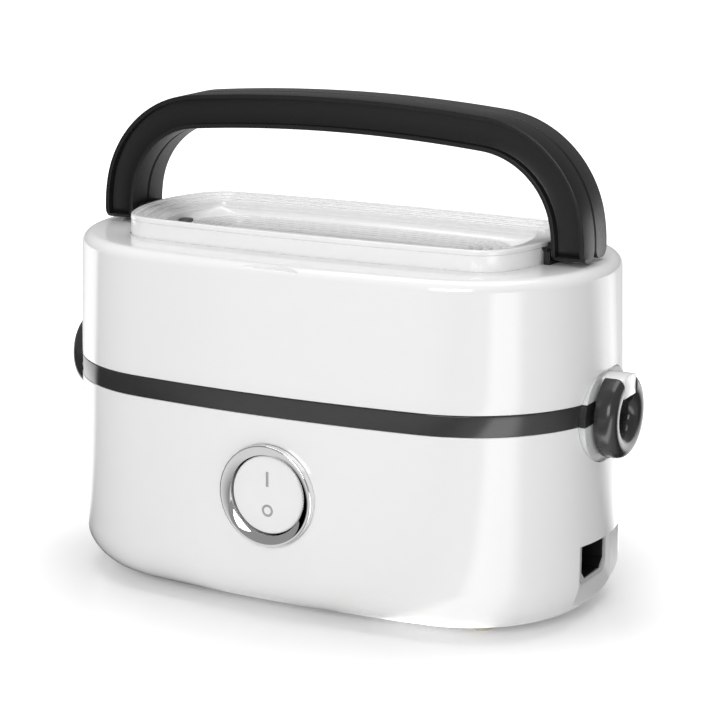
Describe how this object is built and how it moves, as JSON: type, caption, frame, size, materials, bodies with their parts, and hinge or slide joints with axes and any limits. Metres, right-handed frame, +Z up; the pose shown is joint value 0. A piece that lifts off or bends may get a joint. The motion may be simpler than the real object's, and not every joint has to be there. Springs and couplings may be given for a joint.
{
  "type": "electric lunch box",
  "caption": "Heated oval lunch box with a lift-off lid, side latches, folding carrying bails, a rocker switch, a heated pan and lidded inner bowls.",
  "frame": {"origin": "centre of the casing on the surface the feet stand on", "axes": "+X to the end with the inlet, +Y to the rear, +Z up; the switch faces -Y"},
  "size_m": [0.2472, 0.1305, 0.1991],
  "materials": {
    "white_gloss": "gloss white moulding",
    "dish_white": "satin-gloss white moulding",
    "liner_white": "satin white moulding",
    "dark_grey": "gloss dark grey moulding",
    "bail_grey": "satin dark grey moulding",
    "black_plastic": "satin black moulding",
    "light_grey_frame": "satin light grey moulding",
    "chrome": "polished plating",
    "steel": "drawn stainless sheet",
    "pin_steel": "ground pin",
    "cast_aluminium": "cast",
    "element_grey": "oxidised tube",
    "brass": "plain",
    "ivory_rubber": "matt ivory",
    "grey_rubber": "matt silicone",
    "vent_grey": "matt silicone",
    "ceramic": "matt ceramic-like",
    "clear_cover": "translucent moulding"
  },
  "bodies": {
    "base": {"base_shell": "white_gloss", "bottom_cover": "light_grey_frame", "rubber_feet": "ivory_rubber", "bottom_screws": "steel", "trim_band": "dark_grey", "water_pan": "steel", "heater_plate": "cast_aluminium", "heating_element": "element_grey", "thermostat": "ceramic", "thermal_fuse": "ceramic", "heater_clamp": "steel", "clamp_nuts": "brass", "switch_bezel": "chrome", "switch_body": "black_plastic", "inlet_housing": "black_plastic", "inlet_blades": "brass"},
    "switch": {"switch_rocker": "white_gloss"},
    "latch_left": {"latch_ring_left": "dark_grey", "latch_pin_left": "pin_steel"},
    "latch_right": {"latch_ring_right": "dark_grey", "latch_pin_right": "pin_steel"},
    "rack": {"steam_rack": "steel"},
    "bowl_left": {"food_bowl_left": "steel"},
    "bowl_right": {"food_bowl_right": "steel"},
    "cover_left": {"bowl_cover_left": "clear_cover"},
    "cover_right": {"bowl_cover_right": "clear_cover"},
    "lid": {"lid_shell": "white_gloss", "latch_lug_left": "white_gloss", "latch_lug_right": "white_gloss", "lid_top": "dish_white", "lid_liner": "liner_white", "lid_gasket": "grey_rubber", "vent_plug": "vent_grey", "hinge_bracket_left": "bail_grey", "hinge_bracket_right": "bail_grey", "bracket_screws": "steel", "bail_pins": "pin_steel"},
    "front_bail": {"bail_front": "bail_grey"},
    "rear_bail": {"bail_rear": "bail_grey"}
  },
  "joints": [
    {"name": "lid_lift", "type": "slide", "parent": "base", "child": "lid", "axis": [0, 0, 1], "range_m": [0, 0.12]},
    {"name": "rack_lift", "type": "slide", "parent": "base", "child": "rack", "axis": [0, 0, 1], "range_m": [0, 0.03]},
    {"name": "bowl_left_lift", "type": "slide", "parent": "base", "child": "bowl_left", "axis": [0, 0, 1], "range_m": [0, 0.06]},
    {"name": "bowl_right_lift", "type": "slide", "parent": "base", "child": "bowl_right", "axis": [0, 0, 1], "range_m": [0, 0.06]},
    {"name": "cover_left_lift", "type": "slide", "parent": "base", "child": "cover_left", "axis": [0, 0, 1], "range_m": [0, 0.096]},
    {"name": "cover_right_lift", "type": "slide", "parent": "base", "child": "cover_right", "axis": [0, 0, 1], "range_m": [0, 0.096]},
    {"name": "latch_left_swing", "type": "hinge", "parent": "base", "child": "latch_left", "pos_m": [-0.1186, 0, 0.0689], "axis": [0, -1, 0], "range_deg": [0, 90]},
    {"name": "latch_right_swing", "type": "hinge", "parent": "base", "child": "latch_right", "pos_m": [0.1186, 0, 0.0689], "axis": [0, 1, 0], "range_deg": [0, 90]},
    {"name": "front_bail_fold", "type": "hinge", "parent": "lid", "child": "front_bail", "pos_m": [0, -0.006, 0.147], "axis": [1, 0, 0], "range_deg": [0, 90]},
    {"name": "rear_bail_fold", "type": "hinge", "parent": "lid", "child": "rear_bail", "pos_m": [0, 0.006, 0.147], "axis": [-1, 0, 0], "range_deg": [0, 90]},
    {"name": "switch_rock", "type": "hinge", "parent": "base", "child": "switch", "pos_m": [0, -0.0612, 0.0509], "axis": [1, 0, 0], "range_deg": [-5, 5]}
  ],
  "couplings": [
    {"joint": "rack_lift", "follows": "lid_lift", "ratio": 0.25},
    {"joint": "bowl_left_lift", "follows": "lid_lift", "ratio": 0.5},
    {"joint": "bowl_right_lift", "follows": "lid_lift", "ratio": 0.5},
    {"joint": "cover_left_lift", "follows": "lid_lift", "ratio": 0.8},
    {"joint": "cover_right_lift", "follows": "lid_lift", "ratio": 0.8}
  ]
}
